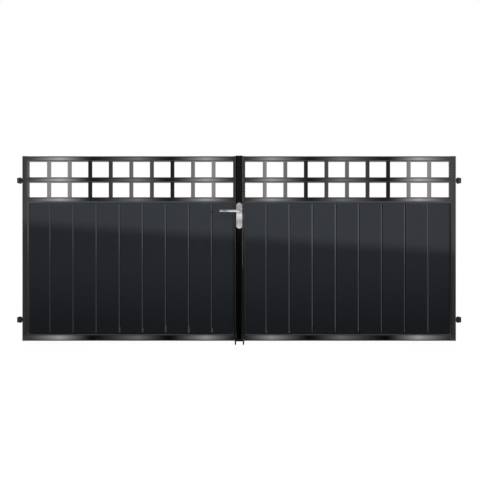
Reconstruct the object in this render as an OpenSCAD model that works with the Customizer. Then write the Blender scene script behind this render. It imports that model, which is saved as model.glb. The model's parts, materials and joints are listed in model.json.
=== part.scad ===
// Double driveway gate. Two welded steel leaves carry a square lattice over vertical
// tongue and groove boards. The left leaf ends in a lock post with lever handles.
// Lengths are in millimetres. X runs along the gate, Y points to its back and Z is up.
// Z is zero at the tips of the drop bolts, and Y is zero in the middle of the frame tubes.

/* [Gate] */
// Width over both closed leaves, from outer stile face to outer stile face
gate_w = 3500; // [3300:10:3520]
// Height of the leaf frames
frame_h = 1490; // [1450:10:1600]
// Height of the frames above the tips of the drop bolts
ground_gap = 40; // [30:1:60]
// Gap between the lock post and its neighbour on each side
joint_gap = 3; // [2:0.5:4]

/* [Frame tubes] */
// Side of the square tubes, which is also the depth of every frame tube
tube = 50; // [48:1:52]
// Wall of the square tubes and rails
tube_wall = 3; // [2:0.5:4]
// Outer corner radius of the hinge stiles and rails
tube_r = 10; // [4:1:10]
// Height of the three upper rails
slim_rail_h = 44; // [36:1:46]
// Height of the bottom rail
foot_rail_h = 54; // [48:1:60]
// Width of the slim stiles beside the lock post
slim_stile_w = 20; // [19:0.5:22]
// Wall of the slim stiles
slim_wall = 2; // [1.5:0.5:2.5]

/* [Lattice] */
// Lattice bars across one leaf
bar_count = 9; // [4:1:9]
// Width of a lattice bar
bar_w = 32; // [24:1:40]
// Thickness of a lattice bar
bar_t = 8; // [5:1:12]
// Distance between the centres of neighbouring bars
bar_pitch = 165.8; // [140:0.2:165.8]
// Distance from the gate's centre line to the nearest bar
bar_first = 206.4; // [180:0.2:206.4]
// Drop from the top of the frame to the top of the middle lattice rail
upper_row = 170; // [150:1:190]
// Drop from the middle lattice rail's top to the top of the rail over the boards
lower_row = 161; // [150:1:190]

/* [Boards] */
// Joints between boards on one leaf
joint_count = 8; // [4:1:8]
// Cover width of a board
board_pitch = 186.6; // [150:0.2:186.6]
// Distance from the gate's centre line to the nearest board joint
joint_first = 220.5; // [180:0.5:220.5]
// Thickness of a board
board_t = 20; // [18:1:22]
// Width of the bevel on each side of a board joint
bevel_w = 5; // [2:0.5:6]
// Depth of that bevel
bevel_d = 3.5; // [2:0.5:5]
// Width of the channel that holds the boards
channel_w = 26; // [26:1:30]
// Length of the channel's legs over the boards
channel_leg = 10; // [8:1:16]

/* [Lock post] */
// Width of the lock post
post_w = 52; // [50:1:52]
// Corner radius of the lock post
post_r = 10; // [6:1:12]
// Width of the caps on the lock post
cap_w = 57; // [54:1:57]
// Depth of the caps on the lock post
cap_d = 53; // [51:1:53]
// Thickness of the caps
cap_t = 4; // [3:1:4]

/* [Lock] */
// Height of the handle's spindle above the bottom of the frame
spindle_h = 1046; // [1000:1:1050]
// Distance from the spindle down to the key cylinder
lock_centres = 92; // [92:1:92]
// Width of the handle plates
plate_w = 50; // [44:1:52]
// Height of the handle plates
plate_h = 209; // [205:1:220]
// Height of the plates' lower end above the bottom of the frame
plate_foot = 905; // [900:1:905]
// Thickness of the handle plates
plate_t = 8; // [6:1:10]
// Reach of a lever from the spindle to its tip
lever_reach = 157; // [120:1:170]
// Diameter of the lever bar
lever_d = 19; // [18:0.5:20]
// Distance from the post's face to the middle of the lever bar
lever_out = 50; // [44:1:56]
// Travel of the latch bolt
latch_throw = 12; // [10:1:12]

/* [Hinges] */
// Height of the upper hinges above the bottom of the frame
hinge_high = 1294; // [1200:1:1320]
// Height of the lower hinges above the bottom of the frame
hinge_low = 169; // [120:1:250]
// Distance from the stile's face out to the hinge pin
pin_out = 21; // [21:0.5:24]
// Diameter of the hinge pin
pin_d = 12; // [10:1:12]
// Height of the bracket's wall plate
bracket_h = 44; // [42:1:44]
// Depth of the wall plate, which the open leaf has to clear
bracket_d = 40; // [38:1:41]

/* [Drop bolts] */
// Diameter of the drop bolt's rod
rod_d = 13; // [12.5:0.5:13]
// Diameter of the turned tip that enters the ground socket
tip_d = 12; // [10:0.5:12]
// Height of the drop bolt's handle above the tips
bolt_handle_h = 650; // [600:5:700]

/* [Hidden] */
$fn = 64;

left = -1;
right = 1;
bite = 1;
frame_z = ground_gap;
frame_top = frame_z + frame_h;

// Places along X, measured on the right leaf and mirrored for the left one
stile_out = gate_w / 2;
stile_in = stile_out - tube;
meet_out = post_w / 2 + joint_gap;
meet_in = meet_out + slim_stile_w;
slim_r = slim_wall + 1;

// Heights of the rails
lattice_top = frame_top - upper_row;
infill_top = lattice_top - lower_row;
infill_bottom = infill_top - slim_rail_h;
sill_top = frame_z + foot_rail_h;

// Bars stand this far behind the front of the rails
bar_inset = 1;

// Boards and their channel
channel_t = 2;
board_play = 0.5;
board_z0 = sill_top + channel_t;
board_z1 = infill_bottom - channel_t;
board_wall = 1.5;
tongue_l = 7;
tongue_t = 5;
tongue_play = 0.3;
joint_play = 0.1;
cell_count = 3;

// Hinges
pivot_x = stile_out + pin_out;
plate_gap = 15.5;
plate_x = pivot_x + plate_gap;
wall_plate_t = 5;
ear_t = 6;
ear_z = bracket_h / 2 - ear_t;
ear_r = 12;
eye_r = 12;
eye_play = 0.5;
run_play = 0.05;
shank_r = 10;
bush_r = 14;
nut_across = 30;
nut_t = 8;
pin_head_r = 9;
pin_head_t = 3;
pin_tail = 4;
clip_t = 1;
wall_screw_r = 3.3;
wall_screw_y = 14.5;
wall_screw_z = 9.5;

// Lock
spindle_z = frame_z + spindle_h;
cylinder_z = spindle_z - lock_centres;
plate_z = frame_z + plate_foot;
face_y = tube / 2;
case_x0 = -21;
case_x1 = post_w / 2 - tube_wall;
case_y = 8.5;
case_wall = 1.5;
case_z0 = cylinder_z - 42;
case_z1 = spindle_z + 44;
faceplate_w = 20;
faceplate_h = 240;
faceplate_z = (case_z0 + case_z1) / 2 - faceplate_h / 2;
hub_r = 10;
hub_arm_r = 17;
hub_arm_w = 5;
spindle_s = 8;
neck_bend = 16;
rose_r = 15;
rose_t = 4;
post_hole_r = 12;
bolt_y = 6.7;
bolt_play = 0.3;
latch_h = 18;
latch_tip = post_w / 2 + latch_throw;
latch_head = 14;
dead_h = 22;
dead_z = cylinder_z + 28;
dead_l = 44;
dead_inset = 0.1;
keep_z0 = dead_z - 28;
keep_h = 128;
seal_play = 0.4;
screw_r = 2.5;
screw_head_r = 5;
screw_head_t = 2.5;
screw_low = 17;
screw_high = plate_h - 16;

// Key cylinder of the common profile, 17 mm round over a 10 mm web, 33 mm tall
profile_r = 8.5;
profile_web = 10;
profile_drop = 19.5;
profile_play = 0.3;
cylinder_proud = 1.5;
cylinder_l = 2 * (face_y + plate_t + cylinder_proud);
plug_r = 6.5;
cam_r = 15;
cam_w = 9;
cam_gap = 10;
cam_hub_r = 8.2;
cam_lobe = 8;
bridge_top = -16;
keyway_w = 2.4;
keyway_h = 8;
keyway_l = 20;

// Drop bolts
rod_y = 34;
rod_x_left = 30;
rod_x_right = 35;
tip_chamfer = 2;
tip_shoulder = 26;
guide_z = [frame_z + 28, frame_z + 488];
guide_h = 30;
guide_y1 = 43;
guide_inner_left = 21;
guide_inner_right = 26.8;
guide_outer = 46.5;
collar_r = 8.8;
collar_h = 8;
handle_bend = 20;
handle_arm = 70;
knob_r = 9;
knob_l = 12;

// Colours
black_steel = [0.10, 0.10, 0.11];
anthracite = [0.17, 0.18, 0.20];
zinc = [0.55, 0.56, 0.58];
stainless = [0.78, 0.78, 0.77];
brass = [0.75, 0.62, 0.32];
plastic = [0.08, 0.08, 0.08];

// Draws its children on the right leaf, or mirrors them onto the left one
module on_side(side) {
    mirror([side < 0 ? 1 : 0, 0, 0]) children();
}

module rounded_rect(w, d, r) {
    square([w - 2 * r, d], center = true);
    square([w, d - 2 * r], center = true);
    for (x = [-1, 1]) for (y = [-1, 1])
        translate([x * (w / 2 - r), y * (d / 2 - r)]) circle(r);
}

module tube_section(w, d, wall, r) {
    difference() {
        rounded_rect(w, d, r);
        rounded_rect(w - 2 * wall, d - 2 * wall, max(r - wall, 1));
    }
}

// A shape drawn in X and Y, stood up along Z
module upright(x, z, h) {
    translate([x, 0, z]) linear_extrude(h) children();
}

// A shape drawn in Y and Z, run along X
module along_x(x, z, l) {
    translate([x, 0, z]) rotate([90, 0, 90]) linear_extrude(l) children();
}

// A cylinder along X
module rod_x(x, z, l, r) {
    translate([x, 0, z]) rotate([0, 90, 0]) cylinder(h = l, r = r);
}

// A cylinder along Y, from y to y + l
module rod_y(x, y, z, l, r) {
    translate([x, y, z]) rotate([-90, 0, 0]) cylinder(h = l, r = r);
}

// Hinge bracket: a wall plate with two ears that hold the pin
module bracket(side, z) {
    on_side(side) translate([0, 0, z]) difference() {
        union() {
            translate([plate_x, -bracket_d / 2, -bracket_h / 2])
                cube([wall_plate_t, bracket_d, bracket_h]);
            for (low = [-bracket_h / 2, ear_z]) translate([pivot_x, 0, low])
                linear_extrude(ear_t) {
                    circle(ear_r);
                    translate([0, -ear_r]) square([plate_gap + bite, 2 * ear_r]);
                }
        }
        translate([pivot_x, 0, -bracket_h]) cylinder(h = 2 * bracket_h, r = pin_d / 2);
        for (y = [-1, 1]) for (k = [-1, 1])
            translate([plate_x - bite, y * wall_screw_y, k * wall_screw_z])
                rotate([0, 90, 0]) cylinder(h = wall_plate_t + 2 * bite, r = wall_screw_r);
    }
}

module bracket_upper_left() color(black_steel) bracket(left, frame_z + hinge_high);
module bracket_lower_left() color(black_steel) bracket(left, frame_z + hinge_low);
module bracket_upper_right() color(black_steel) bracket(right, frame_z + hinge_high);
module bracket_lower_right() color(black_steel) bracket(right, frame_z + hinge_low);

// Repeats its children at the four hinge pins
module at_pins() {
    for (x = [-pivot_x, pivot_x]) for (h = [hinge_low, hinge_high])
        translate([x, 0, frame_z + h]) children();
}

module hinge_pins() color(zinc) at_pins() difference() {
    union() {
        translate([0, 0, -bracket_h / 2 - pin_tail])
            cylinder(h = bracket_h + pin_tail, r = pin_d / 2);
        translate([0, 0, bracket_h / 2]) cylinder(h = pin_head_t, r = pin_head_r);
    }
    translate([0, 0, -bracket_h / 2 - clip_t]) difference() {
        cylinder(h = clip_t, r = pin_d);
        cylinder(h = clip_t, r = pin_d / 2 - clip_t);
    }
}

module pin_clips() color(black_steel) at_pins()
    translate([0, 0, -bracket_h / 2 - clip_t]) difference() {
        cylinder(h = clip_t, r = pin_head_r);
        translate([0, 0, -bite]) cylinder(h = clip_t + 2 * bite, r = pin_d / 2 - clip_t);
    }

// Leaf frames: two stiles, with rails whose ends are coped round the stiles' corners
module hinge_stile(side) {
    on_side(side) difference() {
        upright(stile_out - tube / 2, frame_z, frame_h)
            tube_section(tube, tube, tube_wall, tube_r);
        for (h = [hinge_low, hinge_high])
            rod_x(stile_out - tube_wall - bite, frame_z + h, tube_wall + 2 * bite, bush_r);
    }
}

module meeting_stile(side) {
    on_side(side) upright(meet_out + slim_stile_w / 2, frame_z, frame_h)
        tube_section(slim_stile_w, tube, slim_wall, slim_r);
}

module rail(side, bottom, h) {
    on_side(side) difference() {
        along_x(meet_in - slim_r, bottom + h / 2, stile_in - meet_in + slim_r + tube_r)
            tube_section(tube, h, tube_wall, tube_r);
        upright(meet_out + slim_stile_w / 2, bottom - bite, h + 2 * bite)
            rounded_rect(slim_stile_w, tube, slim_r);
        upright(stile_out - tube / 2, bottom - bite, h + 2 * bite)
            rounded_rect(tube, tube, tube_r);
    }
}

module left_hinge_stile() color(black_steel) hinge_stile(left);
module right_hinge_stile() color(black_steel) hinge_stile(right);
module left_meeting_stile() color(black_steel) meeting_stile(left);
module left_top_rail() color(black_steel) rail(left, frame_top - slim_rail_h, slim_rail_h);
module right_top_rail() color(black_steel) rail(right, frame_top - slim_rail_h, slim_rail_h);
module left_lattice_rail() color(black_steel) rail(left, lattice_top - slim_rail_h, slim_rail_h);
module right_lattice_rail() color(black_steel) rail(right, lattice_top - slim_rail_h, slim_rail_h);
module left_infill_rail() color(black_steel) rail(left, infill_bottom, slim_rail_h);
module right_infill_rail() color(black_steel) rail(right, infill_bottom, slim_rail_h);
module left_bottom_rail() color(black_steel) rail(left, frame_z, foot_rail_h);
module right_bottom_rail() color(black_steel) rail(right, frame_z, foot_rail_h);

// The right meeting stile is cut out for the keep plate
module right_meeting_stile() color(black_steel) difference() {
    meeting_stile(right);
    translate([meet_out - bite, -faceplate_w / 2, keep_z0])
        cube([slim_wall + bite, faceplate_w, keep_h]);
}

// Two rows of flat bars, nearly flush with the rails' front and coped round their corners
module lattice_bars(side) {
    rows = [[lattice_top, frame_top - slim_rail_h], [infill_top, lattice_top - slim_rail_h]];
    on_side(side) difference() {
        for (row = rows) for (k = [0 : bar_count - 1])
            translate([bar_first + k * bar_pitch - bar_w / 2, bar_inset - face_y, row[0] - tube_r])
                cube([bar_w, bar_t, row[1] - row[0] + 2 * tube_r]);
        for (top = [frame_top, lattice_top, infill_top])
            along_x(meet_in, top - slim_rail_h / 2, stile_in - meet_in)
                rounded_rect(tube, slim_rail_h, tube_r);
    }
}

module left_lattice_bars() color(black_steel) lattice_bars(left);
module right_lattice_bars() color(black_steel) lattice_bars(right);

// Open section of the channel: the web lies on the X axis and the legs point to +Y
module channel_section() {
    difference() {
        translate([-channel_w / 2, 0]) square([channel_w, channel_leg]);
        translate([channel_t - channel_w / 2, channel_t])
            square([channel_w - 2 * channel_t, channel_leg]);
    }
}

module infill_channels(side) {
    upright_z = sill_top + channel_leg + joint_play;
    upright_h = infill_bottom - channel_leg - joint_play - upright_z;
    on_side(side) {
        along_x(meet_in, sill_top, stile_in - meet_in) channel_section();
        along_x(meet_in, infill_bottom, stile_in - meet_in) mirror([0, 1]) channel_section();
        upright(meet_in, upright_z, upright_h) rotate(-90) channel_section();
        upright(stile_in, upright_z, upright_h) rotate(90) channel_section();
    }
}

module left_infill_channels() color(anthracite) infill_channels(left);
module right_infill_channels() color(anthracite) infill_channels(right);

// Hollow board from a to b. Bevels stand at the joints, with a groove at a and a tongue at b.
module board_section(a, b, groove, tongue) {
    t = board_t / 2;
    cut_a = groove ? bevel_w : 0;
    cut_b = tongue ? bevel_w : 0;
    cells_a = a + (groove ? tongue_l + 2 * board_wall : board_wall);
    cells_b = b - board_wall - cut_b;
    cell_w = (cells_b - cells_a - (cell_count - 1) * board_wall) / cell_count;
    difference() {
        union() {
            polygon([
                [a + cut_a, -t], [b - cut_b, -t], [b, bevel_d - t], [b, t - bevel_d],
                [b - cut_b, t], [a + cut_a, t], [a, t - bevel_d], [a, bevel_d - t]
            ]);
            if (tongue) translate([b - bite, -tongue_t / 2]) square([tongue_l + bite, tongue_t]);
        }
        if (groove) translate([a - bite, -tongue_t / 2 - tongue_play])
            square([tongue_l + tongue_play + bite, tongue_t + 2 * tongue_play]);
        for (k = [0 : cell_count - 1])
            translate([cells_a + k * (cell_w + board_wall), board_wall - t])
                square([cell_w, board_t - 2 * board_wall]);
    }
}

module boards(side) {
    first = meet_in + channel_t + board_play;
    last = stile_in - channel_t - board_play;
    edges = concat([first], [for (k = [0 : joint_count - 1]) joint_first + k * board_pitch], [last]);
    on_side(side) for (k = [0 : joint_count])
        upright(0, board_z0, board_z1 - board_z0)
            board_section(edges[k] + joint_play, edges[k + 1] - joint_play, k > 0, k < joint_count);
}

module left_boards() color(anthracite) boards(left);
module right_boards() color(anthracite) boards(right);

// Eye bolts, their lock nuts and the threaded bushes in the hinge stiles
module eye_bolts(side) {
    eye_h = 2 * (ear_z - eye_play);
    on_side(side) for (h = [hinge_low, hinge_high]) translate([0, 0, frame_z + h]) difference() {
        union() {
            translate([pivot_x, 0, -eye_h / 2]) cylinder(h = eye_h, r = eye_r);
            rod_x(stile_in + tube_wall + 2 * bite, 0, pivot_x - stile_in - tube_wall - 2 * bite, shank_r);
        }
        translate([pivot_x, 0, -eye_h]) cylinder(h = 2 * eye_h, r = pin_d / 2 + run_play);
    }
}

module hinge_nuts(side) {
    on_side(side) for (h = [hinge_low, hinge_high]) difference() {
        translate([stile_out, 0, frame_z + h]) rotate([0, 90, 0])
            cylinder(h = nut_t, r = nut_across / sqrt(3), $fn = 6);
        rod_x(stile_out - bite, frame_z + h, nut_t + 2 * bite, shank_r);
    }
}

module hinge_bushes(side) {
    bush_l = tube - tube_wall;
    on_side(side) for (h = [hinge_low, hinge_high]) difference() {
        rod_x(stile_out - bush_l, frame_z + h, bush_l, bush_r);
        rod_x(stile_out - bush_l + 2 * bite, frame_z + h, bush_l, shank_r);
    }
}

module left_eye_bolts() color(zinc) eye_bolts(left);
module right_eye_bolts() color(zinc) eye_bolts(right);
module left_hinge_nuts() color(zinc) hinge_nuts(left);
module right_hinge_nuts() color(zinc) hinge_nuts(right);
module left_hinge_bushes() color(zinc) hinge_bushes(left);
module right_hinge_bushes() color(zinc) hinge_bushes(right);

// Plates let into the open ends of the stiles
module tube_plugs(side) {
    on_side(side) for (z = [frame_z, frame_top - tube_wall]) {
        upright(stile_out - tube / 2, z, tube_wall)
            rounded_rect(tube - 2 * tube_wall, tube - 2 * tube_wall, max(tube_r - tube_wall, 1));
        upright(meet_out + slim_stile_w / 2, z, tube_wall)
            rounded_rect(slim_stile_w - 2 * slim_wall, tube - 2 * slim_wall, 1);
    }
}

module left_tube_plugs() color(black_steel) tube_plugs(left);
module right_tube_plugs() color(black_steel) tube_plugs(right);

// Strip that spaces the lock post off the left meeting stile
module joint_strip() color(black_steel)
    translate([-meet_out, post_r - face_y, frame_z])
        cube([joint_gap, tube - 2 * post_r, frame_h]);

// Outline of the key cylinder in X and Z, grown by a clearance
module cylinder_profile(play) {
    circle(profile_r + play);
    translate([-profile_web / 2 - play, -profile_drop])
        square([profile_web + 2 * play, profile_drop]);
    translate([0, -profile_drop]) circle(profile_web / 2 + play);
}

// Runs an outline drawn in X and Z along Y, centred on Y = 0
module through_y(x, z, l) {
    translate([x, l / 2, z]) rotate([90, 0, 0]) linear_extrude(l) children();
}

module lock_post() color(black_steel) difference() {
    upright(0, frame_z, frame_h) tube_section(post_w, tube, tube_wall, post_r);
    translate([case_x1 - bite, -faceplate_w / 2, faceplate_z])
        cube([tube_wall + 2 * bite, faceplate_w, faceplate_h]);
    rod_y(0, -tube, spindle_z, 2 * tube, post_hole_r);
    through_y(0, cylinder_z, 2 * tube) cylinder_profile(2 * bite);
    for (z = [screw_low, screw_high]) rod_y(0, -tube, plate_z + z, 2 * tube, screw_r + bite);
}

// Flat caps with a spigot in each end of the post
module post_caps() color(black_steel) for (end = [0, 1])
    translate([0, 0, end == 0 ? frame_z : frame_top]) mirror([0, 0, end == 0 ? 1 : 0]) {
        linear_extrude(cap_t) rounded_rect(cap_w, cap_d, post_r);
        translate([0, 0, -2 * cap_t]) linear_extrude(2 * cap_t + bite)
            tube_section(post_w - 2 * tube_wall, tube - 2 * tube_wall, slim_wall, post_r - tube_wall);
    }

// Rubber strip that closes the gap to the right leaf, with a window for the lock's faceplate
module closing_seal() color(plastic) difference() {
    translate([post_w / 2, post_r - face_y, frame_z])
        cube([joint_gap - seal_play, tube - 2 * post_r, frame_h]);
    translate([post_w / 2 - bite, -faceplate_w / 2 - seal_play, faceplate_z - seal_play])
        cube([joint_gap + 2 * bite, faceplate_w + 2 * seal_play, faceplate_h + 2 * seal_play]);
}

// Outside of the lock case, or its inside when drawn in by the wall
module case_box(in) {
    translate([case_x0 + in, in - case_y, case_z0 + in])
        cube([case_x1 - case_x0 - 2 * in, 2 * (case_y - in), case_z1 - case_z0 - 2 * in]);
}

// Mortice lock case, a folded steel box with its openings
module lock_case() color(zinc) difference() {
    case_box(0);
    case_box(case_wall);
    rod_y(0, -tube, spindle_z, 2 * tube, hub_r + run_play);
    through_y(0, cylinder_z, tube) cylinder_profile(profile_play);
    rod_y(0, -tube, plate_z + screw_low, 2 * tube, screw_r + bite);
    bolt_window(case_x1, spindle_z, latch_h);
    bolt_window(case_x1, dead_z, dead_h);
}

// Window that lets a bolt of height h through a wall at x
module bolt_window(x, z, h) {
    translate([x - 2 * case_wall, -bolt_y - bolt_play, z - h / 2 - bolt_play])
        cube([4 * case_wall, 2 * (bolt_y + bolt_play), h + 2 * bolt_play]);
}

module lock_faceplate() color(black_steel) difference() {
    translate([case_x1, -faceplate_w / 2, faceplate_z]) cube([tube_wall, faceplate_w, faceplate_h]);
    bolt_window(case_x1, spindle_z, latch_h);
    bolt_window(case_x1, dead_z, dead_h);
    for (z = [faceplate_w / 2, faceplate_h - faceplate_w / 2])
        rod_x(case_x1 - bite, faceplate_z + z, tube_wall + 2 * bite, screw_r);
}

module cylinder_body() color(brass) difference() {
    through_y(0, cylinder_z, cylinder_l) cylinder_profile(0);
    rod_y(0, -cylinder_l, cylinder_z, 2 * cylinder_l, plug_r + run_play);
    translate([-cam_r - bite, -cam_gap / 2, cylinder_z + bridge_top])
        cube([2 * (cam_r + bite), cam_gap, 2 * cam_r]);
}

// Rotor of the key cylinder with its cam and a keyway in each face
module cylinder_plug() color(brass) difference() {
    union() {
        rod_y(0, -cylinder_l / 2, cylinder_z, cylinder_l, plug_r);
        rod_y(0, -cam_w / 2, cylinder_z, cam_w, cam_hub_r);
        through_y(0, cylinder_z, cam_w) intersection() {
            circle(cam_r);
            translate([-cam_lobe / 2, -cam_r]) square([cam_lobe, cam_r]);
        }
    }
    for (y = [-1, 1]) translate([0, y * cylinder_l / 2, cylinder_z])
        cube([keyway_w, 2 * keyway_l, keyway_h], center = true);
}

// Bevelled plate with round ends, drawn flat in X and Y with its face up
module stadium_plate(w, h, t, bevel) {
    ends = [w / 2, h - w / 2];
    for (y = ends) translate([0, y]) cylinder(h = t - bevel, r = w / 2);
    for (y = ends) translate([0, y, t - bevel]) cylinder(h = bevel, r1 = w / 2, r2 = w / 2 - bevel);
    translate([0, h - w / 2]) rotate([90, 0, 0]) linear_extrude(h - w)
        polygon([[-w / 2, 0], [w / 2, 0], [w / 2, t - bevel], [w / 2 - bevel, t],
            [bevel - w / 2, t], [-w / 2, t - bevel]]);
}

// Handle plate on the front of the post, with its face towards -Y
module handle_plate() {
    difference() {
        union() {
            translate([0, -face_y, plate_z]) rotate([90, 0, 0])
                stadium_plate(plate_w, plate_h, plate_t, case_wall);
            rod_y(0, -face_y - plate_t - rose_t, spindle_z, rose_t + bite, rose_r);
        }
        rod_y(0, -2 * tube, spindle_z, 2 * tube, lever_d / 2 + run_play);
        through_y(0, cylinder_z, 4 * tube) cylinder_profile(profile_play);
        for (z = [screw_low, screw_high]) rod_y(0, -2 * tube, plate_z + z, 2 * tube, screw_r);
    }
}

module screw_sinks() {
    for (z = [screw_low, screw_high])
        translate([0, -face_y - plate_t, plate_z + z]) rotate([-90, 0, 0])
            cylinder(h = screw_head_t, r1 = screw_head_r, r2 = screw_r);
}

module front_handle_plate() color(stainless) difference() {
    handle_plate();
    screw_sinks();
}

module back_handle_plate() color(stainless) mirror([0, 1, 0]) handle_plate();

// Countersunk screws that clamp the two handle plates through the post
module lock_screws() color(stainless) {
    screw_sinks();
    for (z = [screw_low, screw_high])
        rod_y(0, -face_y - plate_t, plate_z + z, 2 * (face_y + plate_t) - bite, screw_r);
}

// Hub that turns in the lock case, with the arm that draws the latch
module handle_hub() color(zinc) difference() {
    union() {
        rod_y(0, -case_y, spindle_z, 2 * case_y, hub_r);
        translate([-hub_arm_w / 2, -bolt_y, spindle_z])
            cube([hub_arm_w, 2 * bolt_y, hub_arm_r]);
    }
    translate([0, 0, spindle_z]) cube([spindle_s, tube, spindle_s], center = true);
}

module spindle() color(zinc) translate([0, 0, spindle_z])
    cube([spindle_s, 2 * (face_y + lever_out / 2), spindle_s], center = true);

// Lever: a round bar that comes out of the plate, bends and runs towards the hinges
module lever() {
    r = lever_d / 2;
    bar_y = -face_y - lever_out;
    tip = 1.5;
    difference() {
        union() {
            rod_y(0, bar_y + neck_bend, spindle_z, lever_out - neck_bend - bite, r);
            translate([-neck_bend, bar_y + neck_bend, spindle_z]) rotate([0, 0, -90])
                rotate_extrude(angle = 90) translate([neck_bend, 0]) circle(r);
            translate([-neck_bend, bar_y, spindle_z]) rotate([0, -90, 0]) {
                cylinder(h = lever_reach - neck_bend - tip, r = r);
                translate([0, 0, lever_reach - neck_bend - tip])
                    cylinder(h = tip, r1 = r, r2 = r - tip);
            }
        }
        translate([0, 0, spindle_z])
            cube([spindle_s, 2 * (face_y + lever_out / 2), spindle_s], center = true);
    }
}

module front_lever() color(stainless) lever();
module back_lever() color(stainless) mirror([0, 1, 0]) lever();

// Sprung latch: a bevelled head, a neck through the case and a tail over the hub's arm
module latch_bolt() color(stainless) translate([0, 0, spindle_z]) {
    head_x = latch_tip - latch_head;
    head_top = latch_h / 2;
    neck_h = 2.5;
    web_x = 17;
    web_w = 4;
    tab_x = -3.1;
    tab_w = 3.5;
    tail_gap = 0.6;
    tail_z = hub_arm_r + tail_gap;
    tail_h = 3.4;
    translate([0, 0, -head_top]) linear_extrude(latch_h)
        polygon([[head_x, -bolt_y], [head_x, bolt_y], [latch_tip, bolt_y],
            [latch_tip, bolt_y - 4], [head_x + 5, -bolt_y]]);
    through_y(0, 0, bolt_y) difference() {
        polygon([[web_x, head_top - neck_h], [head_x + bite, head_top - neck_h],
            [head_x + bite, head_top], [web_x + web_w, head_top], [web_x + web_w, tail_z + tail_h],
            [tab_x - tab_w, tail_z + tail_h], [tab_x - tab_w, hub_r + tail_gap],
            [tab_x, hub_r + tail_gap], [tab_x, tail_z], [web_x, tail_z]]);
        translate([latch_throw, 0]) circle(hub_r + bolt_play);
    }
}

module dead_bolt() color(stainless)
    translate([post_w / 2 - dead_inset - dead_l, -bolt_y, dead_z - dead_h / 2])
        cube([dead_l, 2 * bolt_y, dead_h]);

// Keep on the right leaf, with a pocket for each bolt
module keep_plate() color(stainless) difference() {
    translate([meet_out, -faceplate_w / 2, keep_z0]) cube([slim_wall, faceplate_w, keep_h]);
    keep_window(spindle_z, latch_h);
    keep_window(dead_z, dead_h);
}

module keep_window(z, h) {
    translate([meet_out - bite, -bolt_y - bite, z - h / 2 - bite])
        cube([slim_wall + 2 * bite, 2 * (bolt_y + bite), h + 2 * bite]);
}

// Guides on the back of the leaf that the drop bolt slides in
module bolt_guides(side, x, inner) {
    on_side(side) for (z = guide_z) difference() {
        translate([inner, face_y, z]) cube([guide_outer - inner, guide_y1 - face_y, guide_h]);
        translate([x, rod_y, z - bite]) cylinder(h = guide_h + 2 * bite, r = rod_d / 2 + run_play);
    }
}

module left_bolt_guides() color(black_steel) bolt_guides(left, rod_x_left, guide_inner_left);
module right_bolt_guides() color(black_steel) bolt_guides(right, rod_x_right, guide_inner_right);

// Drop bolt: turned tip, rod, stop collar, bend and a grip that points to the hinges
module drop_bolt(side, x) {
    on_side(side) translate([x, rod_y, 0]) {
        cylinder(h = tip_chamfer, r1 = tip_d / 2 - tip_chamfer, r2 = tip_d / 2);
        translate([0, 0, tip_chamfer]) cylinder(h = tip_shoulder - tip_chamfer, r = tip_d / 2);
        translate([0, 0, tip_shoulder])
            cylinder(h = bolt_handle_h - handle_bend - tip_shoulder, r = rod_d / 2);
        translate([0, 0, guide_z[0] + guide_h]) cylinder(h = collar_h, r = collar_r);
        translate([handle_bend, 0, bolt_handle_h - handle_bend]) rotate([90, -90, 0])
            rotate_extrude(angle = 90) translate([handle_bend, 0]) circle(rod_d / 2);
        translate([handle_bend, 0, bolt_handle_h]) rotate([0, 90, 0]) {
            cylinder(h = handle_arm, r = rod_d / 2);
            translate([0, 0, handle_arm - knob_l]) cylinder(h = knob_l, r = knob_r);
        }
    }
}

module left_drop_bolt() color(zinc) drop_bolt(left, rod_x_left);
module right_drop_bolt() color(zinc) drop_bolt(right, rod_x_right);

bracket_upper_left();
bracket_lower_left();
bracket_upper_right();
bracket_lower_right();
hinge_pins();
pin_clips();
left_hinge_stile();
left_meeting_stile();
left_top_rail();
left_lattice_rail();
left_infill_rail();
left_bottom_rail();
left_lattice_bars();
left_infill_channels();
left_boards();
left_eye_bolts();
left_hinge_nuts();
left_hinge_bushes();
left_tube_plugs();
left_bolt_guides();
joint_strip();
lock_post();
post_caps();
closing_seal();
lock_case();
lock_faceplate();
cylinder_body();
front_handle_plate();
back_handle_plate();
lock_screws();
handle_hub();
spindle();
front_lever();
back_lever();
latch_bolt();
cylinder_plug();
dead_bolt();
right_hinge_stile();
right_meeting_stile();
right_top_rail();
right_lattice_rail();
right_infill_rail();
right_bottom_rail();
right_lattice_bars();
right_infill_channels();
right_boards();
right_eye_bolts();
right_hinge_nuts();
right_hinge_bushes();
right_tube_plugs();
right_bolt_guides();
keep_plate();
left_drop_bolt();
right_drop_bolt();
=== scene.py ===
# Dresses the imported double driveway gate: the camera, the studio, the materials and the small pieces
# that the CAD leaves out. Lengths are in metres in the CAD's own frame, with -Y towards the viewer.
import json
import math

import bmesh
import bpy
from mathutils import Matrix, Vector


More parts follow.
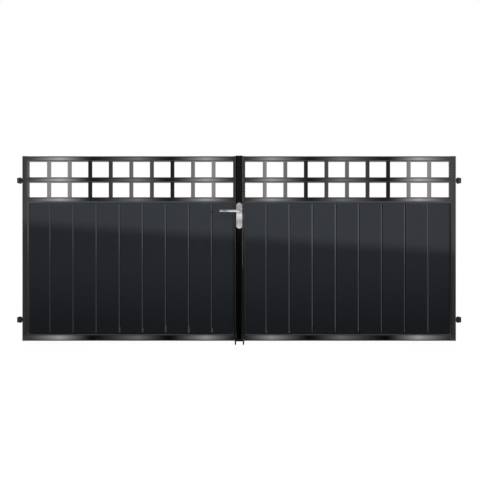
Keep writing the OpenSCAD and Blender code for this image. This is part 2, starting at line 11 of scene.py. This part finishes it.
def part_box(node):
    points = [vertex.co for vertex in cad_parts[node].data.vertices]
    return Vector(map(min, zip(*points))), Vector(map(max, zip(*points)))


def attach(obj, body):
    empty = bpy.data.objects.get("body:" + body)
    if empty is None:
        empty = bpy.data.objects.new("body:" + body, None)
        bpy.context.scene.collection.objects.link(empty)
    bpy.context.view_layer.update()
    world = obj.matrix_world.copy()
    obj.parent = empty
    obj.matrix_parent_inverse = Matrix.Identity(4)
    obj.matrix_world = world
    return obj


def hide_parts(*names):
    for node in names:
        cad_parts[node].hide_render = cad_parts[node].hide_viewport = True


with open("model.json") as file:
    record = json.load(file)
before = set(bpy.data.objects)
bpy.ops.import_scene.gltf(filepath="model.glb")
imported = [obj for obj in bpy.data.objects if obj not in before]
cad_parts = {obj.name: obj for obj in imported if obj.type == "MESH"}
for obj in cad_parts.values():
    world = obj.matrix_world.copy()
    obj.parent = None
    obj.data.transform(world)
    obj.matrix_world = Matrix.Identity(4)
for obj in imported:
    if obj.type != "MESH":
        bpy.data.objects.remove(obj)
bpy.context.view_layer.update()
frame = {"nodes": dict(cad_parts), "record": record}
NODES = frame["nodes"]
scene = bpy.context.scene
SIDES = ("left", "right")

# ---------------------------------------------------------------- camera
CAMERA_PLACE = (0.0068, -5.695, 0.8535)
LENS = 52.76

camera = bpy.data.objects.new("camera", bpy.data.cameras.new("camera"))
camera.data.lens = LENS
camera.location = CAMERA_PLACE
camera.rotation_euler = (math.radians(90), 0, 0)
scene.collection.objects.link(camera)
scene.camera = camera
scene.view_settings.view_transform = "Standard"


# ---------------------------------------------------------------- node helpers
WHITE = (1, 1, 1, 1)


class Tree:
    """A small wrapper that adds nodes to a material or the world and links them."""

    def __init__(self, owner):
        owner.use_nodes = True
        self.nodes, self.links = owner.node_tree.nodes, owner.node_tree.links
        self.nodes.clear()

    def add(self, kind, inputs=(), **settings):
        node = self.nodes.new(kind)
        for name, value in settings.items():
            setattr(node, name, value)
        for name, value in dict(inputs).items():
            if isinstance(value, bpy.types.NodeSocket):
                self.links.new(value, node.inputs[name])
            else:
                node.inputs[name].default_value = value
        return node

    def math(self, operation, a, b=0.0, clamp=False):
        node = self.add("ShaderNodeMath", {0: a, 1: b}, operation=operation, use_clamp=clamp)
        return node.outputs[0]

    def plus(self, first, *others):
        for other in others:
            first = self.math("ADD", first, other)
        return first

    def times(self, first, *others):
        for other in others:
            first = self.math("MULTIPLY", first, other)
        return first

    def remap(self, value, low, high, out_low=0.0, out_high=1.0, smooth=False):
        kind = "SMOOTHSTEP" if smooth else "LINEAR"
        node = self.add("ShaderNodeMapRange", {0: value, 1: low, 2: high, 3: out_low, 4: out_high},
                        interpolation_type=kind, clamp=True)
        return node.outputs[0]

    def step(self, value, at, blur, out_low=0.0, out_high=1.0):
        """Changes from one level to the other around a place. A negative blur swaps the two."""
        return self.remap(value, at - blur, at + blur, out_low, out_high)

    def here(self):
        """Object coordinates, which are the row frame."""
        return self.add("ShaderNodeTexCoord").outputs["Object"]

    def split(self, place):
        return self.add("ShaderNodeSeparateXYZ", {0: place}).outputs

    def place(self, stretch=(1, 1, 1)):
        """Object coordinates, stretched along each axis."""
        return self.add("ShaderNodeMapping", {"Vector": self.here(), "Scale": stretch}).outputs[0]

    def noise(self, scale, detail=3.0, roughness=0.5, stretch=(1, 1, 1)):
        node = self.add("ShaderNodeTexNoise", {"Vector": self.place(stretch), "Scale": scale,
                                               "Detail": detail, "Roughness": roughness})
        return node.outputs["Fac"]

    def span(self, noise, middle, share):
        """Spreads a noise over a share below and above the middle."""
        return self.remap(noise, NOISE_LOW, NOISE_HIGH, middle * (1 - share), middle * (1 + share))

    def mix(self, factor, a, b):
        node = self.add("ShaderNodeMix", data_type="RGBA")
        for index, value in ((0, factor), (6, a), (7, b)):
            if isinstance(value, bpy.types.NodeSocket):
                self.links.new(value, node.inputs[index])
            else:
                node.inputs[index].default_value = value
        return node.outputs[2]

    def scaled(self, colour, factor):
        return self.add("ShaderNodeVectorMath", {0: colour, 3: factor}, operation="SCALE").outputs[0]

    def edges(self, radius):
        """One on sharp edges, falling to zero on flat faces."""
        round_normal = self.add("ShaderNodeBevel", {"Radius": radius}, samples=4).outputs[0]
        normal = self.add("ShaderNodeNewGeometry").outputs["Normal"]
        dot = self.add("ShaderNodeVectorMath", {0: round_normal, 1: normal}, operation="DOT_PRODUCT")
        return self.remap(dot.outputs["Value"], 0.98, 0.75)

    def bump(self, height, depth):
        inputs = {"Height": height, "Strength": 1.0, "Distance": depth}
        return self.add("ShaderNodeBump", inputs).outputs[0]

    def glow(self, level):
        return self.add("ShaderNodeEmission", {"Color": WHITE, "Strength": level}).outputs[0]

    def blend(self, share, a, b):
        return self.add("ShaderNodeMixShader", {0: share, 1: a, 2: b}).outputs[0]

    def surface(self, shader):
        self.add("ShaderNodeOutputMaterial", {"Surface": shader})


# ---------------------------------------------------------------- materials
EDGE_RADIUS = 0.0012
# Noise scales: slow changes of gloss, clouds in the coat, brushed lines and patches on metal
GLOSS_NOISE, CLOUD_NOISE, BRUSH_NOISE, PATCH_NOISE = 3.1, 14.0, 900.0, 60.0
# The span of the noise that counts
NOISE_LOW, NOISE_HIGH = 0.3, 0.7
# How much paler a coat is where an edge is worn
WORN_GAIN, WORN_LIFT = 2.2, 0.012
COAT_ROUGH_RANGE, METAL_ROUGH_RANGE = 0.1, 0.2


def rgba(colour):
    return (*colour, 1.0)


def paint(name, colour, rough, specular, grain, grain_depth, mottle=0.12, wear=0.25, tint=(1, 1, 1)):
    """Coated metal: a dark coat with a fine grain, slow gloss changes and paler edges. Tint colours
    the gloss."""
    material = bpy.data.materials.new(name)
    tree = Tree(material)
    slow = tree.noise(GLOSS_NOISE, 4.0)
    fine = tree.noise(grain, 2.0, 0.6)
    cloud = tree.span(tree.noise(CLOUD_NOISE, 5.0, 0.6), 1, mottle)
    worn_colour = tuple(channel * WORN_GAIN + WORN_LIFT for channel in colour)
    base = tree.mix(tree.times(tree.edges(EDGE_RADIUS), wear), rgba(colour), rgba(worn_colour))
    shader = tree.add("ShaderNodeBsdfPrincipled", {
        "Base Color": tree.scaled(base, cloud),
        "Roughness": tree.span(slow, rough, COAT_ROUGH_RANGE),
        "Specular IOR Level": specular, "Specular Tint": rgba(tint),
        "Normal": tree.bump(fine, grain_depth)})
    tree.surface(shader.outputs[0])
    return material


def metal(name, colour, rough, shine=1.0, brush=(1, 1, 1), brush_depth=0.000004, spots=0.06, painted_shade=None):
    """Bare or plated metal, brushed along the axis in which the brush is stretched least. Shine below
    one leaves a share that scatters widely, as fine scratches do. Painted shade lists three places
    along X and their tones, which paint shade along the part."""
    material = bpy.data.materials.new(name)
    tree = Tree(material)
    lines = tree.noise(BRUSH_NOISE, 2.0, 0.55, brush)
    tone = tree.span(tree.noise(PATCH_NOISE, 4.0), 1, spots)
    # Painted shade: the tone falls and rises along X, standing in for shade along the part
    if painted_shade:
        x = tree.split(tree.here())["X"]
        (x0, tone0), (x1, tone1), (x2, tone2) = painted_shade
        painted_tone = tree.plus(tree.remap(x, x0, x1, tone0 - tone1, 0.0, True),
                         tree.remap(x, x1, x2, tone1, tone2, True))
        tone = tree.times(tone, painted_tone)
    shader = tree.add("ShaderNodeBsdfPrincipled", {
        "Base Color": tree.scaled(colour, tone), "Metallic": shine,
        "Roughness": tree.span(lines, rough, METAL_ROUGH_RANGE),
        "Normal": tree.bump(lines, brush_depth)})
    tree.surface(shader.outputs[0])
    return material


BLACK = paint("gloss_black_coat", (0.0014, 0.0014, 0.0016), 0.05, 1.0, 420.0, 0.0000025)
BOARD = paint("anthracite_coat", (0.0049, 0.0060, 0.0077), 0.03, 0.92, 1500.0, 0.0000006,
              mottle=0.05, wear=0.1, tint=(0.85, 0.91, 1.0))
POST = paint("satin_black_coat", (0.0004, 0.0004, 0.0005), 0.10, 0.16, 700.0, 0.000002)
DARK_ZINC = paint("black_passivate", (0.006, 0.006, 0.0065), 0.34, 0.4, 600.0, 0.00001,
                  mottle=0.3, wear=0.8)
RUBBER = paint("black_rubber", (0.010, 0.010, 0.010), 0.55, 0.3, 900.0, 0.00001, mottle=0.2, wear=0.1)
ZINC = metal("bright_zinc", (0.50, 0.51, 0.53), 0.34, 0.8, spots=0.16)
PLATE = metal("brushed_stainless", (0.64, 0.64, 0.65), 0.035, 0.88, brush=(1, 1, 0.02),
              brush_depth=0.0000002)
# The lever's tone along X is painted shade, darkest a little in from its free end and full towards the rose
LEVER = metal("satin_stainless", (0.62, 0.62, 0.63), 0.18, 0.85, brush=(0.02, 1, 1),
              painted_shade=((-0.150, 0.62), (-0.112, 0.45), (-0.068, 1.0)))
BOLT = metal("ground_steel", (0.60, 0.60, 0.60), 0.30, 0.8, brush=(0.02, 1, 1))
NICKEL = metal("satin_nickel", (0.58, 0.58, 0.57), 0.28, 0.7)

FINISH = {
    "black_paint": BLACK, "board_paint": BOARD, "post_paint": POST, "zinc": ZINC,
    "dark_zinc": DARK_ZINC, "stainless": PLATE, "brass": NICKEL, "rubber": RUBBER,
}
OWN_FINISH = {"front_lever": LEVER, "back_lever": LEVER, "latch_bolt": BOLT, "dead_bolt": BOLT}

for row in frame["record"]["subparts"]:
    materials = NODES[row["node"]].data.materials
    materials.clear()
    materials.append(OWN_FINISH.get(row["node"], FINISH[row["material_slot"]]))


# ---------------------------------------------------------------- edges of the CAD solids
WELD_DISTANCE = 0.00001
BEVEL_ANGLE = math.radians(50)
SOFT_EDGES = {"joint_strip": 0.0004, "keep_plate": 0.0003, "lock_faceplate": 0.0003, "dead_bolt": 0.0006,
              "cylinder_body": 0.0012}


def soften(name, width):
    """Rounds the sharp edges of a CAD node a little with modifiers, so that they catch the light."""
    weld = NODES[name].modifiers.new("weld", "WELD")
    weld.merge_threshold = WELD_DISTANCE
    bevel = NODES[name].modifiers.new("bevel", "BEVEL")
    bevel.width, bevel.segments = width, 2
    bevel.limit_method, bevel.angle_limit = "ANGLE", BEVEL_ANGLE
    bevel.harden_normals = False
    bevel.use_clamp_overlap = True


for soft_name, soft_width in SOFT_EDGES.items():
    soften(soft_name, soft_width)


# ---------------------------------------------------------------- mesh helpers
SHARP_ANGLE = math.radians(40)


def piece(name, mesh, body, material):
    """Puts a finished bmesh into the scene as a piece that rides on a CAD body."""
    bmesh.ops.recalc_face_normals(mesh, faces=mesh.faces)
    data = bpy.data.meshes.new(name)
    mesh.to_mesh(data)
    mesh.free()
    data.materials.append(material)
    for polygon in data.polygons:
        polygon.use_smooth = True
    data.set_sharp_from_angle(angle=SHARP_ANGLE)
    made = bpy.data.objects.new(name, data)
    scene.collection.objects.link(made)
    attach(made, body)
    return made


def skin(mesh, rows):
    """Joins rings of the same count into a closed solid."""
    for low, high in zip(rows, rows[1:]):
        for k in range(len(low)):
            following = (k + 1) % len(low)
            mesh.faces.new((low[k], low[following], high[following], high[k]))
    mesh.faces.new(reversed(rows[0]))
    mesh.faces.new(rows[-1])


def lathe(mesh, place, turn, profile, steps, flats=()):
    """Turns a list of (radius, height) into a closed solid on the given axis. Flats marks the rows
    that follow a hexagon instead of a circle."""
    rows = []
    for row, (radius, height) in enumerate(profile):
        ring = []
        for step in range(steps):
            angle = 2 * math.pi * step / steps
            r = radius
            if row in flats:
                r = radius / math.cos((angle % (math.pi / 3)) - math.pi / 6)
            corner = Vector((r * math.cos(angle), r * math.sin(angle), height))
            ring.append(mesh.verts.new(place + turn @ corner))
        rows.append(ring)
    skin(mesh, rows)


BEAD_SIDES = 8
# Rings of a bead stand this share of its radius apart
BEAD_PITCH = 0.45
RIPPLE_DEPTH, RIPPLE_TURN = 0.12, 2.4
# A bead starts with this share of its radius and grows by the slope
TAPER_START, TAPER_SLOPE = 0.25, 4


def bead(mesh, start, end, radius, out):
    """A weld bead from start to end: a half-round rope with ripples that bulges towards out."""
    start, end, out = Vector(start), Vector(end), Vector(out).normalized()
    along = end - start
    side = along.normalized().cross(out)
    steps = max(6, int(along.length / (radius * BEAD_PITCH)))
    turns = [2 * math.pi * k / BEAD_SIDES for k in range(BEAD_SIDES)]
    rows = []
    for step in range(steps + 1):
        share = step / steps
        ripple = 1 + RIPPLE_DEPTH * math.sin(step * RIPPLE_TURN)
        taper = min(1.0, TAPER_SLOPE * share + TAPER_START, TAPER_SLOPE * (1 - share) + TAPER_START)
        centre, reach = start + along * share, radius * ripple * taper
        rows.append([mesh.verts.new(centre + reach * (out * math.cos(turn) + side * math.sin(turn)))
                     for turn in turns])
    skin(mesh, rows)


# ---------------------------------------------------------------- welds
WELD_R = 0.0022
RAIL_WELD_HALF = 0.014
BAR_WELD_INSET = 0.001


def bars_of(side):
    """Centres along X and the width of the lattice bars of one leaf, read from their solids."""
    xs = sorted({round(v.co.x, 4) for v in NODES[side + "_lattice_bars"].data.vertices})
    return [((a + b) / 2, b - a) for a, b in zip(xs[::2], xs[1::2])]


for side in SIDES:
    rails = [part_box(f"{side}_{name}") for name in ("top_rail", "lattice_rail", "infill_rail", "bottom_rail")]
    top, lattice, infill = rails[:3]
    inner = max((corner.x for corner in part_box(side + "_meeting_stile")), key=abs)
    outer = min((corner.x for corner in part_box(side + "_hinge_stile")), key=abs)
    toward = 1 if outer > inner else -1
    mesh = bmesh.new()
    for index, (low, high) in enumerate(rails):
        # Only the edges inside the frame carry beads, and the channels hide the infill rail's lower edge
        edges = [(z, up) for z, up, shown in ((low.z, -1, index < 2), (high.z, 1, index > 0)) if shown]
        for x, out in ((inner, toward), (outer, -toward)):
            for z, up in edges:
                bead(mesh, (x, -RAIL_WELD_HALF, z), (x, RAIL_WELD_HALF, z), WELD_R, (out, 0, up))
    bar_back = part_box(side + "_lattice_bars")[1].y
    for x, width in bars_of(side):
        half = width / 2 - BAR_WELD_INSET
        for z, up in ((top[0].z, -1), (lattice[1].z, 1), (lattice[0].z, -1), (infill[1].z, 1)):
            bead(mesh, (x - half, bar_back, z), (x + half, bar_back, z), WELD_R, (0, 1, up))
    piece(side + "_welds", mesh, side + "_leaf", BLACK)


# ---------------------------------------------------------------- screws
SOCKET = 0.0017
TO_FRONT = Matrix.Rotation(math.radians(90), 3, "X")
TO_BACK = Matrix.Rotation(math.radians(-90), 3, "X")
TO_RIGHT = Matrix.Rotation(math.radians(90), 3, "Y")
# A pan head from its underside to its top, as (radius, height)
PAN_HEAD = ((0.0020, -0.0008), (0.0041, -0.0008), (0.0040, 0.0004), (0.0032, 0.0013), (0.0016, 0.0018),
            (0.0001, 0.0019))
PLATE_SCREW_INSET, FACE_SCREW_INSET, CHANNEL_SCREW_INSET = 0.005, 0.010, 0.005
CHANNEL_SCREWS = 7
SUNK_STEPS, PAN_STEPS = 36, 24


def sunk_screw(mesh, place, turn, head, shank, length, depth):
    """A countersunk screw with a hexagon socket. Its face is at place and looks along turn's +Z."""
    lathe(mesh, place, turn, [
        (shank, -length), (shank, -depth), (head - 0.0002, -0.0003), (head - 0.0005, -0.00005),
        (SOCKET + 0.0004, -0.00005), (SOCKET, -0.0003), (SOCKET, -0.0014), (0.0003, -0.0017)],
        SUNK_STEPS, flats=(5, 6))


low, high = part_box("lock_screws")
mesh = bmesh.new()
for z in (low.z + PLATE_SCREW_INSET, high.z - PLATE_SCREW_INSET):
    sunk_screw(mesh, Vector((0, low.y, z)), TO_FRONT, head=0.005, shank=0.0025, length=high.y - low.y,
               depth=0.0025)
plate_screws = piece("plate_screws", mesh, "left_leaf", PLATE)
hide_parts("lock_screws")

low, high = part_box("lock_faceplate")
mesh = bmesh.new()
for z in (low.z + FACE_SCREW_INSET, high.z - FACE_SCREW_INSET):
    sunk_screw(mesh, Vector((high.x, 0, z)), TO_RIGHT, head=0.0036, shank=0.0024, length=0.008,
               depth=0.0012)
piece("faceplate_screws", mesh, "left_leaf", PLATE)

for side in SIDES:
    low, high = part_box(side + "_infill_channels")
    mesh = bmesh.new()
    for step in range(CHANNEL_SCREWS):
        x = low.x + (high.x - low.x) * (step + 0.5) / CHANNEL_SCREWS
        for z in (low.z + CHANNEL_SCREW_INSET, high.z - CHANNEL_SCREW_INSET):
            lathe(mesh, Vector((x, high.y, z)), TO_BACK, PAN_HEAD, PAN_STEPS)
    piece(side + "_channel_screws", mesh, side + "_leaf", DARK_ZINC)


# ---------------------------------------------------------------- the studio's light
# The gloss faces mirror two walls. A thing that shows at x on the gate stands at x * MIRROR on a wall.
# Names with BY, and the lamps' START and END, are ramps: (from, to, level at the first, at the second).
GLOSS_Y = 0.025
WALL_Y, WALL_HALF, WALL_LOW, WALL_HIGH = 6.0, 4.4, -1.5, 4.0
MIRROR = 1 + (WALL_Y - GLOSS_Y) / (-CAMERA_PLACE[1] - GLOSS_Y)
# Where each strip shows on the gate, its strength, and how far it fades to the left and to the right
STRIPS = (
    (-1.444, 4.9, 0.36, 0.26), (-0.815, 1.95, 0.39, 0.25), (-0.267, 4.1, 0.30, 0.27),
    (0.259, 3.8, 0.27, 0.31), (0.820, 1.9, 0.27, 0.37), (1.442, 4.9, 0.26, 0.34))
STRIP_POWER = 1.8
# The strips fill the upper part of a wall, over a plain level
STRIP_FOOT, STRIP_TOP, STRIP_TOP_BLUR = 1.486, 2.30, 0.1
TOP_LEVEL = 0.10
# The pale card below them: its levels, how softly its edge ends, and where it darkens downwards
CARD_TOP, CARD_LOW = 0.50, 0.19
CARD_BLUR_BELOW, CARD_BLUR_ABOVE = 0.15, 0.10
CARD_FADE_LOW, CARD_FADE_HIGH = -0.50, 0.40
RAIL_EDGE_LOW, RAIL_EDGE_HIGH = -0.76, -0.70
# The light at the foot of a wall
FILL_TOP, FILL_LEVEL = -0.92, 1.1
# The panels at the ends of a wall, which the hinge stiles mirror
END_PANEL = 3.49
PANEL_BY_HEIGHT = (0.2, -0.65, 0.18, 0.25)
PANEL_RIGHT_TOP = 0.2
# The middle: the card is darker for the post, and two lamps above each other light the handle plate
POST_HALF, POST_SHARE = 0.104, 0.5
PLATE_HALF, MIDDLE_TOP_LEVEL = 0.056, 0.6
LOWER_LAMP_START, LOWER_LAMP_END = (1.030, 1.040), (1.13, 1.06, 0.14, 0.72)
UPPER_LAMP_START, UPPER_LAMP_END = (1.165, 1.265), (1.302, 1.285, 0.0, 0.85)
# How softly the parts of a wall end
STRIP_BLUR, PANEL_BLUR, FINE_BLUR = 0.01, 0.02, 0.004
# The cards close to the gate's foot, from which the bottom rail gets its strips
FOOT_CARD_Y, FOOT_CARD_LOW, FOOT_CARD_HIGH = 0.125, 0.034, 0.0715
FOOT_CARD_LEVEL = 4.0
FOOT_CARD_SHARE = 0.72
FOOT_MIRROR = 1 + (FOOT_CARD_Y - GLOSS_Y) / (-CAMERA_PLACE[1] - GLOSS_Y)
# The cards on both sides, each from one end to the other in X and Y
RIGHT_CARD, LEFT_CARD = ((5.3, -5.2), (6.3, -0.2)), ((-6.3, -5.5), (-4.45, -6.05))
SIDE_LOW, SIDE_HIGH = -1.2, 3.4
RIGHT_BY_HEIGHT = (0.3, 1.0, 0.9, 1.7)
RIGHT_BY_DEPTH, RIGHT_BY_GATE = (-4.9, -3.4, 0.6, 1.0), (-2.2, -1.2, 0.0, 1.5)
LEFT_BY_WIDTH = (-4.45, -5.7, 0.2, 1.3)
# The ground as the gloss faces mirror it: a dark patch under the gate, a painted shadow of the gate on the
# floor, on a bright card
GATE_HALF = 1.9
LOW_LEVEL = 1.5
LOW_HALF_X, LOW_HALF_Y, LOW_Z = 6.0, 6.5, -1.55
LOW_BY_DEPTH = (2.4, 3.6, 1.9, LOW_LEVEL)
FOOT_REACH, FOOT_Z = 0.35, 0.0005
FOOT_BY_DEPTH = (0.08, FOOT_REACH, 0.0, LOW_LEVEL)


def strip_light(tree, x, spread):
    """The strips side by side, spread out from the middle as the gate's gloss shows them."""
    total = 0.0
    for centre, level, left, right in STRIPS:
        centre *= spread
        rise = tree.remap(x, centre - left * spread, centre)
        fall = tree.remap(x, centre, centre + right * spread, 1.0, 0.0)
        share = tree.math("POWER", tree.math("MINIMUM", rise, fall), STRIP_POWER)
        total = tree.plus(total, tree.times(share, level))
    return total


def wall_light(card_edge, card_slope, card_foot, rail_share, middle_level):
    """What the gloss faces mirror: tall soft strips over a pale card with a slanted edge."""
    def make(tree):
        place = tree.split(tree.here())
        x, z = place["X"], place["Z"]
        away = tree.math("ABSOLUTE", x)
        above = tree.step(z, STRIP_FOOT, STRIP_BLUR)
        below = tree.math("SUBTRACT", 1.0, above)
        lit = tree.times(above, tree.remap(z, STRIP_TOP + STRIP_TOP_BLUR, STRIP_TOP))
        strips = tree.plus(tree.times(above, TOP_LEVEL), tree.times(strip_light(tree, x, MIRROR), lit))

        edge = tree.plus(z, tree.times(x, card_slope))
        upper = tree.remap(edge, card_edge - CARD_BLUR_BELOW, card_edge + CARD_BLUR_ABOVE,
                           0.0, CARD_TOP - CARD_LOW, True)
        lower = tree.times(tree.remap(z, CARD_FADE_LOW, CARD_FADE_HIGH, card_foot, CARD_LOW),
                           tree.remap(z, RAIL_EDGE_LOW, RAIL_EDGE_HIGH, rail_share, 1.0))
        pale = tree.times(tree.plus(upper, lower), below,
                          tree.step(away, POST_HALF, FINE_BLUR, POST_SHARE, 1.0))

        panel = tree.times(tree.step(away, END_PANEL, PANEL_BLUR), tree.remap(z, *PANEL_BY_HEIGHT))
        right_top = tree.times(tree.step(x, END_PANEL, PANEL_BLUR, 0.0, PANEL_RIGHT_TOP), above)
        fill = tree.remap(z, FILL_TOP, WALL_LOW, 0.0, FILL_LEVEL, True)

        middle = tree.step(away, PLATE_HALF, -FINE_BLUR)
        middle_top = tree.times(middle, above, MIDDLE_TOP_LEVEL)
        upper_lamp = tree.times(tree.remap(z, *UPPER_LAMP_START), tree.remap(z, *UPPER_LAMP_END))
        lower_lamp = tree.remap(z, *LOWER_LAMP_END)
        lamps = tree.times(tree.plus(upper_lamp, lower_lamp), middle,
                           tree.remap(z, *LOWER_LAMP_START, 0.0, middle_level), below)
        tree.surface(tree.glow(tree.plus(strips, pale, panel, right_top, fill, middle_top, lamps)))
    return make


def right_light(tree):
    """Grows between knee height and eye height, and from the viewer's side to the gate's."""
    place = tree.split(tree.here())
    upright = tree.remap(place["Z"], *RIGHT_BY_HEIGHT, True)
    deep = tree.plus(tree.remap(place["Y"], *RIGHT_BY_DEPTH), tree.remap(place["Y"], *RIGHT_BY_GATE, True))
    tree.surface(tree.glow(tree.times(upright, deep)))


def left_light(tree):
    """Grows softly away from the front wall's edge."""
    tree.surface(tree.glow(tree.remap(tree.split(tree.here())["X"], *LEFT_BY_WIDTH, True)))


def by_depth(ramp):
    """A level that depends on how far in front of the gate or behind it a place is."""
    def make(tree):
        away = tree.math("ABSOLUTE", tree.split(tree.here())["Y"])
        tree.surface(tree.glow(tree.remap(away, *ramp, True)))
    return make


def foot_strips(tree):
    """The strips alone, clear in between."""
    strips = strip_light(tree, tree.split(tree.here())["X"], FOOT_MIRROR)
    share = tree.math("MULTIPLY", strips, FOOT_CARD_SHARE / FOOT_CARD_LEVEL, True)
    clear = tree.add("ShaderNodeBsdfTransparent").outputs[0]
    tree.surface(tree.blend(share, clear, tree.glow(FOOT_CARD_LEVEL)))


def no_light(tree):
    tree.surface(tree.glow(0.0))


# ---------------------------------------------------------------- the studio's cards and flags
def stage_mesh(name, corners, faces, tree_maker, camera_sees=False):
    """A surface of the studio. Unless the camera sees it, only reflections do."""
    data = bpy.data.meshes.new(name)
    data.from_pydata(corners, [], faces)
    made = bpy.data.objects.new(name, data)
    scene.collection.objects.link(made)
    material = bpy.data.materials.new(name)
    tree_maker(Tree(material))
    data.materials.append(material)
    if not camera_sees:
        material.cycles.emission_sampling = "NONE"
        made.visible_camera = made.visible_diffuse = made.visible_shadow = False
        made.visible_transmission = made.visible_volume_scatter = False
    return made


ONE_FACE = [(0, 1, 2, 3)]


def upright_card(name, start, end, z0, z1, tree_maker):
    (x0, y0), (x1, y1) = start, end
    stage_mesh(name, [(x0, y0, z0), (x1, y1, z0), (x1, y1, z1), (x0, y0, z1)], ONE_FACE, tree_maker)


def level_corners(half_x, half_y, z):
    return [(-half_x, -half_y, z), (half_x, -half_y, z), (half_x, half_y, z), (-half_x, half_y, z)]


FRONT_LIGHT = wall_light(card_edge=0.923, card_slope=0.067, card_foot=0.075, rail_share=0.0, middle_level=1.0)
BACK_LIGHT = wall_light(card_edge=-0.35, card_slope=-0.05, card_foot=0.25, rail_share=1.0, middle_level=0.6)
for name, y, light in (("front_wall", -WALL_Y, FRONT_LIGHT), ("back_wall", WALL_Y, BACK_LIGHT)):
    upright_card(name, (-WALL_HALF, y), (WALL_HALF, y), WALL_LOW, WALL_HIGH, light)
upright_card("right_card", *RIGHT_CARD, SIDE_LOW, SIDE_HIGH, right_light)
for name, y in (("front_foot_card", -FOOT_CARD_Y), ("back_foot_card", FOOT_CARD_Y)):
    upright_card(name, (-GATE_HALF, y), (GATE_HALF, y), FOOT_CARD_LOW, FOOT_CARD_HIGH, foot_strips)
upright_card("left_card", *LEFT_CARD, SIDE_LOW, SIDE_HIGH, left_light)
# Only the undersides of the rails mirror these two
stage_mesh("low_card", level_corners(LOW_HALF_X, LOW_HALF_Y, LOW_Z), ONE_FACE, by_depth(LOW_BY_DEPTH))
# A painted shadow: dark close to the gate and brightening to the low card's level, seen only in reflections
stage_mesh("foot_flag", level_corners(GATE_HALF, FOOT_REACH, FOOT_Z), ONE_FACE, by_depth(FOOT_BY_DEPTH))

RING_R, RING_LOW, RING_HIGH, RING_STEPS = 8.5, -1.6, 9.0, 48
ring_turns = [2 * math.pi * k / RING_STEPS for k in range(RING_STEPS)]
ring = [(RING_R * math.cos(turn), RING_R * math.sin(turn), z)
        for z in (RING_LOW, RING_HIGH) for turn in ring_turns]
ring_faces = [(k, (k + 1) % RING_STEPS, RING_STEPS + (k + 1) % RING_STEPS, RING_STEPS + k)
              for k in range(RING_STEPS)]
stage_mesh("black_flags", ring, ring_faces, no_light)


# ---------------------------------------------------------------- background, floor and lamps
BACKGROUND_RAYS = ("Is Camera Ray", "Is Glossy Ray", "Is Transmission Ray")
WORLD_LEVEL = 0.35
FLOOR_HALF = 30.0
FLOOR_KEEPS_SHADOW = 0.16
FLOOR_WHITE = 1.06
SHADOW_NEAR, SHADOW_FAR = 2.2, 4.5
MATT_FLOOR = (0.80, 0.80, 0.80, 1)
SOFTBOX_PLACE, SOFTBOX_AIM = (1.0, 2.6, 2.7), (0.95, 0, 0.7)
SOFTBOX_WIDTH, SOFTBOX_HEIGHT = 1.6, 1.0
FRONT_POWER, BACK_POWER = 70, 60


def background_share(tree):
    """One for the rays that should see the white background."""
    path = tree.add("ShaderNodeLightPath")
    share = path.outputs[BACKGROUND_RAYS[0]]
    for name in BACKGROUND_RAYS[1:]:
        share = tree.math("MAXIMUM", share, path.outputs[name])
    return share


def floor_light(tree):
    """White to the camera, with a share of matt floor near the gate that keeps the shadow."""
    away = tree.add("ShaderNodeVectorMath", {0: tree.here()}, operation="LENGTH").outputs["Value"]
    plain = tree.remap(away, SHADOW_NEAR, SHADOW_FAR, 1 - FLOOR_KEEPS_SHADOW, 1.0, True)
    share = tree.times(background_share(tree), plain)
    matt = tree.add("ShaderNodeBsdfDiffuse", {"Color": MATT_FLOOR}).outputs[0]
    tree.surface(tree.blend(share, matt, tree.glow(FLOOR_WHITE)))


floor = stage_mesh("floor", level_corners(FLOOR_HALF, FLOOR_HALF, 0), ONE_FACE, floor_light, True)
floor.visible_glossy = False

world = bpy.data.worlds.new("studio")
scene.world = world
tree = Tree(world)
dim = tree.add("ShaderNodeBackground", {"Color": WHITE, "Strength": WORLD_LEVEL}).outputs[0]
bright = tree.add("ShaderNodeBackground", {"Color": WHITE, "Strength": 1.0}).outputs[0]
tree.add("ShaderNodeOutputWorld", {"Surface": tree.blend(background_share(tree), dim, bright)})


def softbox(name, place, aim, power):
    light = bpy.data.lights.new(name, "AREA")
    light.shape, light.size, light.size_y = "RECTANGLE", SOFTBOX_WIDTH, SOFTBOX_HEIGHT
    light.energy = power
    made = bpy.data.objects.new(name, light)
    made.location = place
    made.rotation_euler = (Vector(aim) - Vector(place)).to_track_quat("-Z", "Y").to_euler()
    scene.collection.objects.link(made)
    made.visible_glossy = False


for side in (-1, 1):
    aim = (SOFTBOX_AIM[0] * side, SOFTBOX_AIM[1], SOFTBOX_AIM[2])
    for name, toward, power in (("front_softbox", -1, FRONT_POWER), ("back_softbox", 1, BACK_POWER)):
        place = (SOFTBOX_PLACE[0] * side, SOFTBOX_PLACE[1] * toward, SOFTBOX_PLACE[2])
        softbox(name, place, aim, power)
